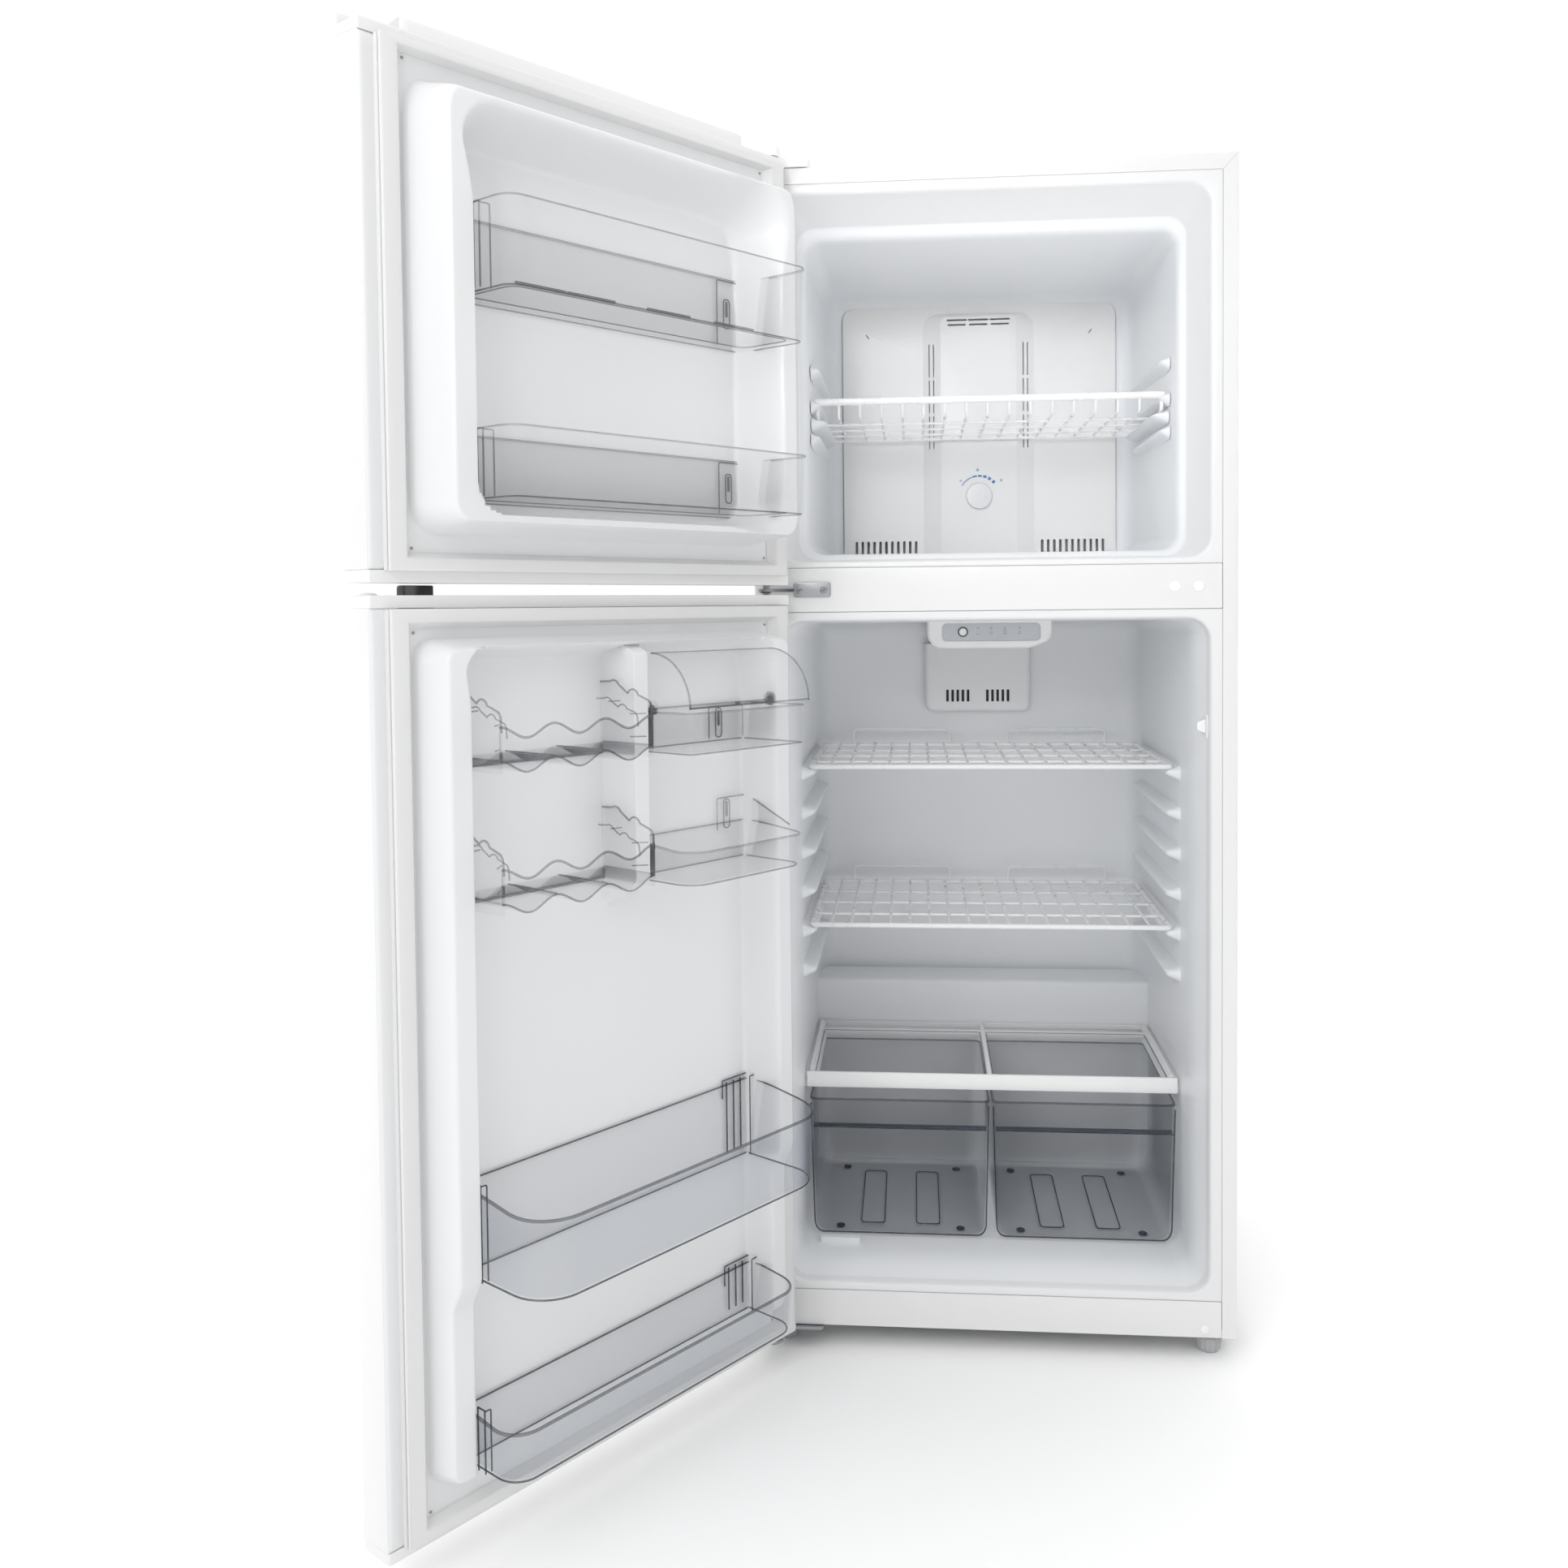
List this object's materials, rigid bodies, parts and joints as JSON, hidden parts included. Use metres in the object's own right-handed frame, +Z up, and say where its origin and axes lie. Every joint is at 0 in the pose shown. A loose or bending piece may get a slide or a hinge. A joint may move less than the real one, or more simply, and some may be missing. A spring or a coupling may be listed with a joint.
{
  "type": "top freezer refrigerator",
  "caption": "Narrow white top freezer refrigerator with both hinged doors open, wire shelves, clear door bins, bottle racks, dairy box and crisper drawers",
  "frame": {"origin": "middle of the underside of the front right levelling foot, on the floor", "axes": "+Z up; +Y from the cabinet's front face to its back; +X to the right as seen from the front"},
  "size_m": [0.9407, 1.102, 1.52],
  "materials": {
    "painted_shell": "gloss",
    "painted_rail": "gloss",
    "galvanised": "satin",
    "foam": "matte",
    "liner": "satin",
    "white_plastic": "satin",
    "zinc": "satin",
    "aluminium_fins": "satin",
    "dark_plastic": "satin",
    "handle": "satin",
    "grey_plastic": "satin",
    "knob": "satin",
    "compressor_paint": "satin",
    "wire": "satin",
    "condenser_paint": "matte",
    "rubber": "matte",
    "gasket": "matte",
    "clear": "clear",
    "smoke": "clear",
    "shelf_glass": "clear"
  },
  "bodies": {
    "cabinet": {"outer_shell": "painted_shell", "back_panel": "galvanised", "base_panel": "galvanised", "cabinet_foam": "foam", "freezer_liner": "liner", "fridge_liner": "liner", "mullion_rail": "painted_rail", "bottom_rail": "painted_rail", "hole_plugs": "white_plastic", "top_hinge": "zinc", "top_hinge_cover": "white_plastic", "middle_hinge": "zinc", "bottom_hinge": "zinc", "hinge_screws": "zinc", "evaporator_cover": "white_plastic", "evaporator_coil": "aluminium_fins", "fan_motor": "dark_plastic", "air_duct_cover": "white_plastic", "control_housing": "white_plastic", "compressor": "compressor_paint", "condenser": "condenser_paint", "cord_gland": "rubber"},
    "freezer_door": {"freezer_door_panel": "painted_shell", "freezer_door_cap_top": "white_plastic", "freezer_door_cap_bottom": "white_plastic", "freezer_door_liner": "liner", "freezer_door_gasket": "gasket", "freezer_door_foam": "foam", "freezer_door_handle": "handle"},
    "fridge_door": {"fridge_door_panel": "painted_shell", "fridge_door_cap_top": "white_plastic", "fridge_door_cap_bottom": "white_plastic", "fridge_door_liner": "liner", "fridge_door_gasket": "gasket", "fridge_door_foam": "foam", "fridge_door_handle": "handle"},
    "crisper_lid": {"crisper_cover": "white_plastic", "crisper_glass": "shelf_glass"},
    "fan_blade_body": {"fan_blade": "grey_plastic"},
    "control_button_body": {"control_button": "white_plastic"},
    "light_switch_lever_body": {"light_switch_lever": "white_plastic"},
    "temperature_knob_body": {"temperature_knob": "knob"},
    "roller_left_body": {"roller_left": "dark_plastic"},
    "roller_right_body": {"roller_right": "dark_plastic"},
    "foot_left_body": {"foot_left": "grey_plastic"},
    "foot_right_body": {"foot_right": "grey_plastic"},
    "freezer_shelf_body": {"freezer_shelf": "wire"},
    "fridge_shelf_upper_body": {"fridge_shelf_upper": "wire"},
    "fridge_shelf_lower_body": {"fridge_shelf_lower": "wire"},
    "crisper_left_body": {"crisper_left": "smoke"},
    "crisper_right_body": {"crisper_right": "smoke"},
    "freezer_bin_upper_body": {"freezer_bin_upper": "clear"},
    "freezer_bin_lower_body": {"freezer_bin_lower": "clear"},
    "bottle_rack_upper_body": {"bottle_rack_upper": "clear"},
    "bottle_rack_lower_body": {"bottle_rack_lower": "clear"},
    "dairy_bin_body": {"dairy_bin": "clear"},
    "dairy_lid_body": {"dairy_lid": "clear"},
    "short_bin_body": {"short_bin": "clear"},
    "large_bin_body": {"large_bin": "smoke"},
    "lower_bin_body": {"lower_bin": "smoke"}
  },
  "joints": [
    {"name": "freezer_door_swing", "type": "hinge", "parent": "cabinet", "child": "freezer_door", "pos_m": [-0.552, -0.066, 1.502], "axis": [0, 0, -1], "range_deg": [-126, 9]},
    {"name": "fridge_door_swing", "type": "hinge", "parent": "cabinet", "child": "fridge_door", "pos_m": [-0.552, -0.066, 0.038], "axis": [0, 0, -1], "range_deg": [-126, 9]},
    {"name": "fan_spin", "type": "hinge", "parent": "cabinet", "child": "fan_blade_body", "pos_m": [-0.27, 0.408, 1.31], "axis": [0, 1, 0], "continuous": true},
    {"name": "temperature_knob_turn", "type": "hinge", "parent": "cabinet", "child": "temperature_knob_body", "pos_m": [-0.27, 0.337, 1.117], "axis": [0, -1, 0], "range_deg": [-135, 135]},
    {"name": "control_button_press", "type": "slide", "parent": "cabinet", "child": "control_button_body", "axis": [0, 1, 0], "range_m": [0, 0.002], "stiffness_N_per_m": 400},
    {"name": "light_switch_press", "type": "hinge", "parent": "cabinet", "child": "light_switch_lever_body", "pos_m": [-0.0085, -0.0145, 0.8], "axis": [0, 0, -1], "range_deg": [0, 8], "stiffness_Nm_per_rad": 0.05},
    {"name": "roller_left_spin", "type": "hinge", "parent": "cabinet", "child": "roller_left_body", "pos_m": [-0.51, 0.492, 0.0135], "axis": [1, 0, 0], "continuous": true},
    {"name": "roller_right_spin", "type": "hinge", "parent": "cabinet", "child": "roller_right_body", "pos_m": [-0.03, 0.492, 0.0135], "axis": [1, 0, 0], "continuous": true},
    {"name": "foot_left_turn", "type": "hinge", "parent": "cabinet", "child": "foot_left_body", "pos_m": [-0.54, 0, 0], "axis": [0, 0, 1], "continuous": true},
    {"name": "foot_right_turn", "type": "hinge", "parent": "cabinet", "child": "foot_right_body", "pos_m": [0, 0, 0], "axis": [0, 0, 1], "continuous": true},
    {"name": "freezer_shelf_slide", "type": "slide", "parent": "cabinet", "child": "freezer_shelf_body", "axis": [0, -1, 0], "range_m": [0, 0.2]},
    {"name": "fridge_shelf_upper_slide", "type": "slide", "parent": "cabinet", "child": "fridge_shelf_upper_body", "axis": [0, -1, 0], "range_m": [0, 0.2]},
    {"name": "fridge_shelf_lower_slide", "type": "slide", "parent": "cabinet", "child": "fridge_shelf_lower_body", "axis": [0, -1, 0], "range_m": [0, 0.2]},
    {"name": "crisper_cover_slide", "type": "slide", "parent": "cabinet", "child": "crisper_lid", "axis": [0, -1, 0], "range_m": [0, 0.2]},
    {"name": "crisper_left_slide", "type": "slide", "parent": "cabinet", "child": "crisper_left_body", "axis": [0, -1, 0], "range_m": [0, 0.2]},
    {"name": "crisper_right_slide", "type": "slide", "parent": "cabinet", "child": "crisper_right_body", "axis": [0, -1, 0], "range_m": [0, 0.2]},
    {"name": "freezer_bin_upper_lift", "type": "slide", "parent": "freezer_door", "child": "freezer_bin_upper_body", "axis": [0, 0, 1], "range_m": [0, 0.025]},
    {"name": "freezer_bin_lower_lift", "type": "slide", "parent": "freezer_door", "child": "freezer_bin_lower_body", "axis": [0, 0, 1], "range_m": [0, 0.025]},
    {"name": "bottle_rack_upper_lift", "type": "slide", "parent": "fridge_door", "child": "bottle_rack_upper_body", "axis": [0, 0, 1], "range_m": [0, 0.025]},
    {"name": "bottle_rack_lower_lift", "type": "slide", "parent": "fridge_door", "child": "bottle_rack_lower_body", "axis": [0, 0, 1], "range_m": [0, 0.025]},
    {"name": "short_bin_lift", "type": "slide", "parent": "fridge_door", "child": "short_bin_body", "axis": [0, 0, 1], "range_m": [0, 0.025]},
    {"name": "large_bin_lift", "type": "slide", "parent": "fridge_door", "child": "large_bin_body", "axis": [0, 0, 1], "range_m": [0, 0.025]},
    {"name": "lower_bin_lift", "type": "slide", "parent": "fridge_door", "child": "lower_bin_body", "axis": [0, 0, 1], "range_m": [0, 0.025]},
    {"name": "dairy_bin_pull", "type": "slide", "parent": "fridge_door", "child": "dairy_bin_body", "axis": [0.809, -0.5878, 0], "range_m": [0, 0.06]},
    {"name": "dairy_lid_turn", "type": "hinge", "parent": "dairy_bin_body", "child": "dairy_lid_body", "pos_m": [-0.59221, -0.23703, 0.846], "axis": [-0.5878, -0.809, 0], "range_deg": [0, 40]}
  ]
}
